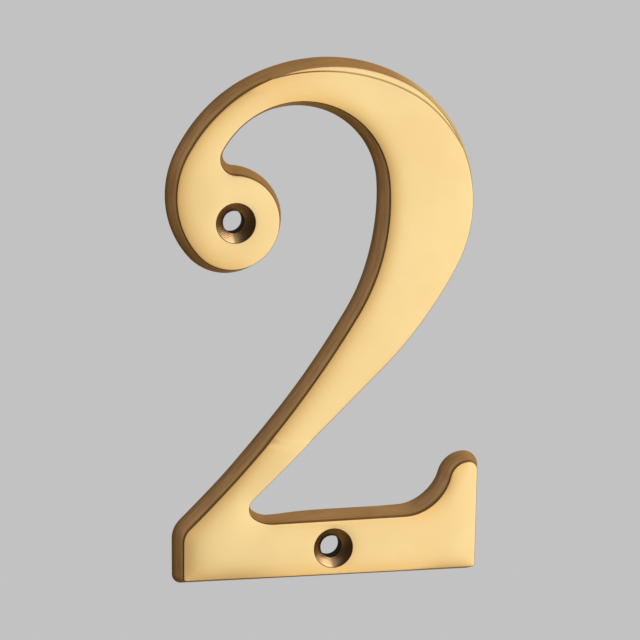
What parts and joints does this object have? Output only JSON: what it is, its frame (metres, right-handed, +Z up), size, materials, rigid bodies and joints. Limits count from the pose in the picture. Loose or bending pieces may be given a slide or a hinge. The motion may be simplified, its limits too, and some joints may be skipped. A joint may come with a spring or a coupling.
{
  "type": "house number",
  "caption": "Cast brass house number in the shape of a two, a flat plate with flared sides, a ball terminal, a turned-up foot and countersunk screw holes, for fixing to a door or wall.",
  "frame": {"origin": "on the flat back, on the axis of the lower screw hole", "axes": "+X to the reader's right, +Y into the wall or door, +Z up the numeral"},
  "size_m": [0.047, 0.0037, 0.076],
  "materials": {
    "brass": "polished face, satin cast sides"
  },
  "bodies": {
    "root": {"numeral": "brass"}
  },
  "joints": []
}
